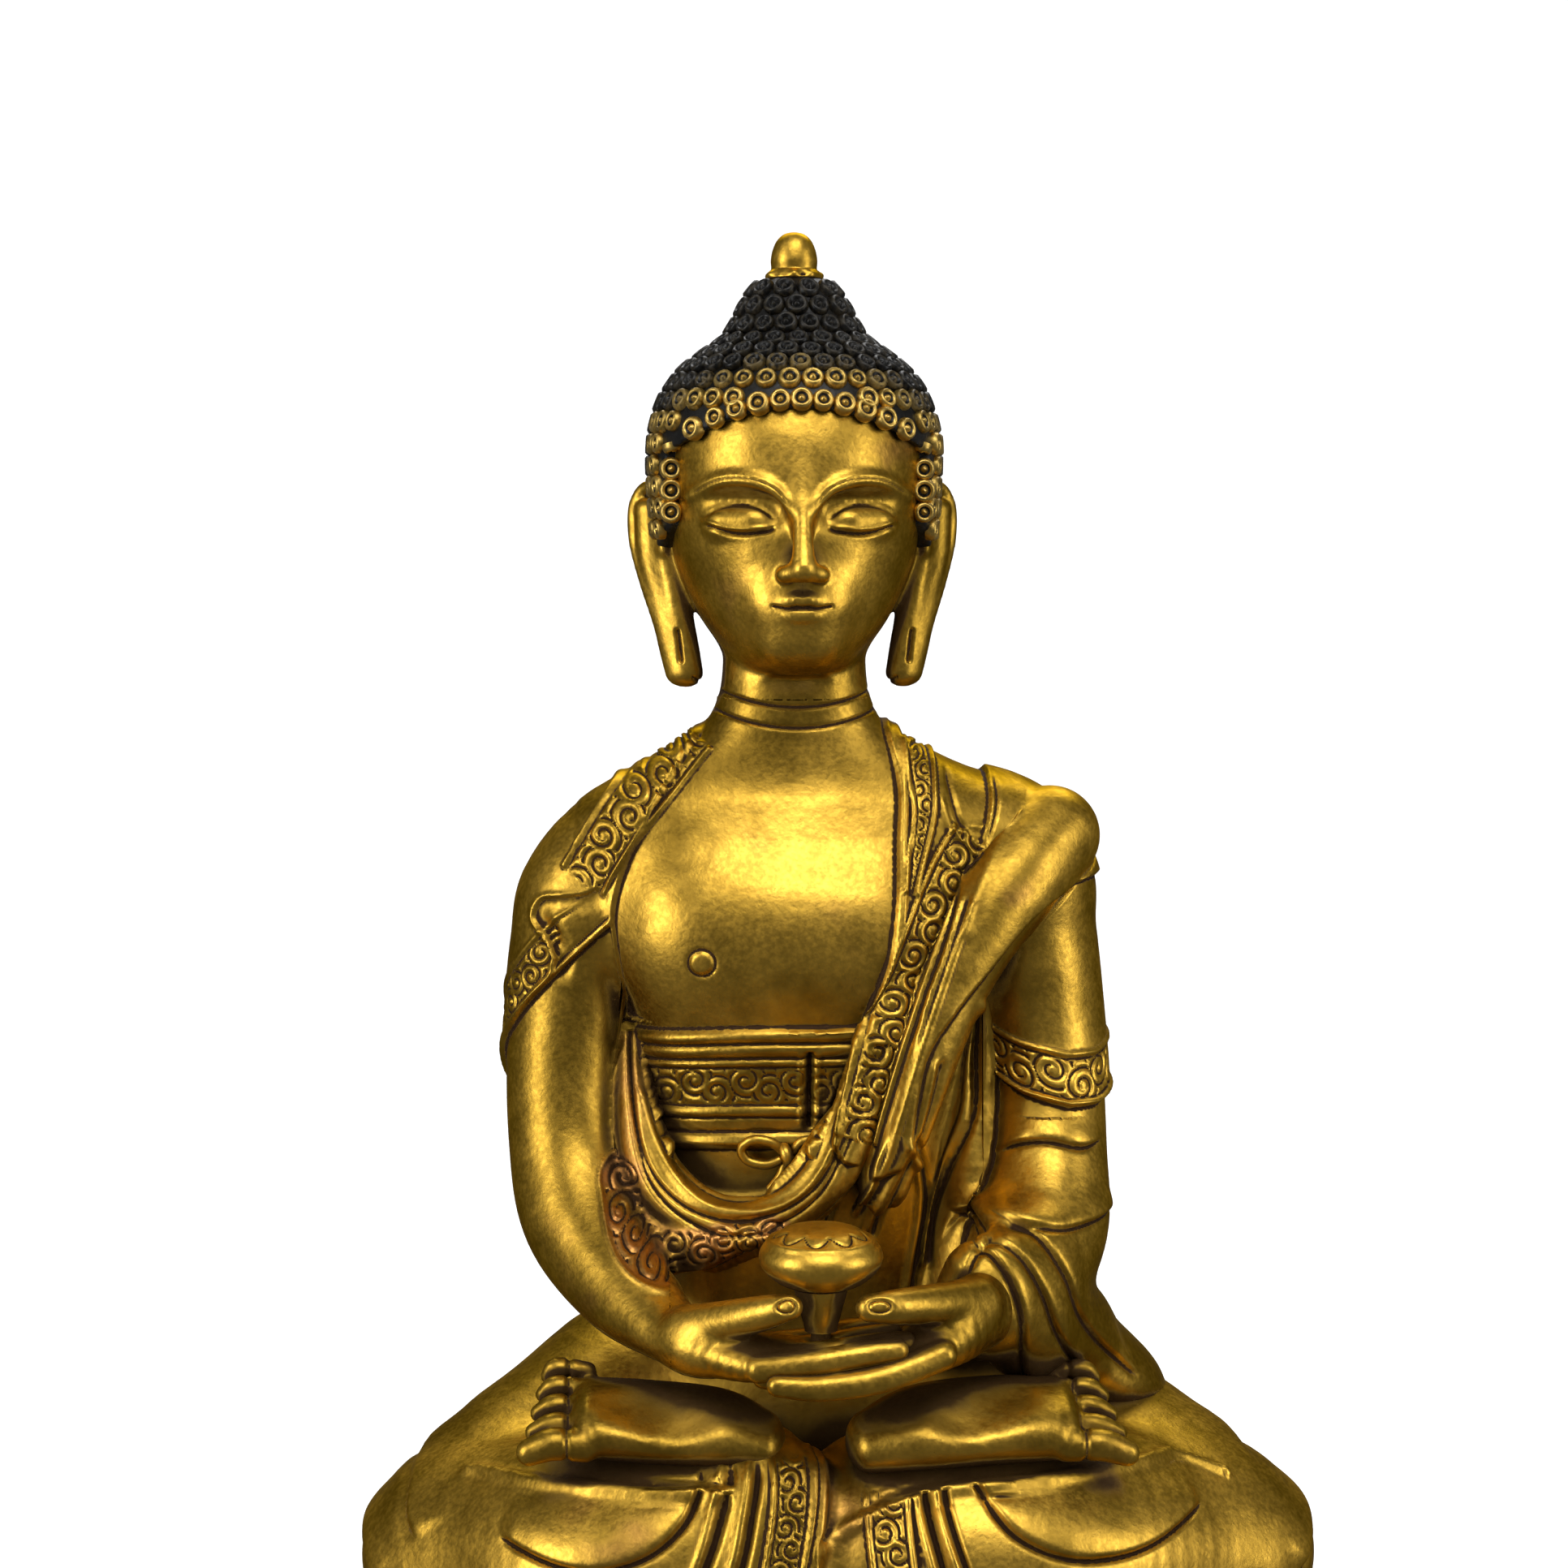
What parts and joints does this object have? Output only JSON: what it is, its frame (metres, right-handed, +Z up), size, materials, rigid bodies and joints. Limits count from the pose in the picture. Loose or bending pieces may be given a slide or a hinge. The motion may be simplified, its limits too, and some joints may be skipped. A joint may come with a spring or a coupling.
{
  "type": "buddha statue",
  "caption": "Seated meditating figure assembled from hollow brass castings, holding a small lift-off alms bowl in its lap, with a closing plate under the flat base.",
  "frame": {"origin": "middle of the underside of the base, on the table", "axes": "+Z up, the figure's front faces -Y, +X towards the figure's left hand"},
  "size_m": [0.1996, 0.1246, 0.3],
  "materials": {
    "cast_brass": "satin cast brass with brown patina in the recesses",
    "polished_brass": "rubbed brass",
    "hair_patina": "blackened brass, worn on the curls",
    "copper_sheet": "dull copper sheet",
    "screw_brass": "plain brass",
    "dowel_copper": "plain copper"
  },
  "bodies": {
    "figure": {"lap_casting": "cast_brass", "torso_casting": "cast_brass", "right_arm": "cast_brass", "left_arm": "cast_brass", "left_hand": "cast_brass", "head_casting": "cast_brass", "hair_cap": "hair_patina", "crown_finial": "polished_brass", "base_plate": "copper_sheet", "base_screws": "screw_brass", "waist_dowels": "dowel_copper", "neck_dowels": "dowel_copper", "right_arm_dowels": "dowel_copper", "left_arm_dowels": "dowel_copper", "wrist_dowel": "dowel_copper", "palm_dowel": "dowel_copper"},
    "bowl": {"alms_bowl": "polished_brass"}
  },
  "joints": [
    {"name": "bowl_lift", "type": "slide", "parent": "figure", "child": "bowl", "axis": [0, 0, 1], "range_m": [0, 0.08]}
  ]
}
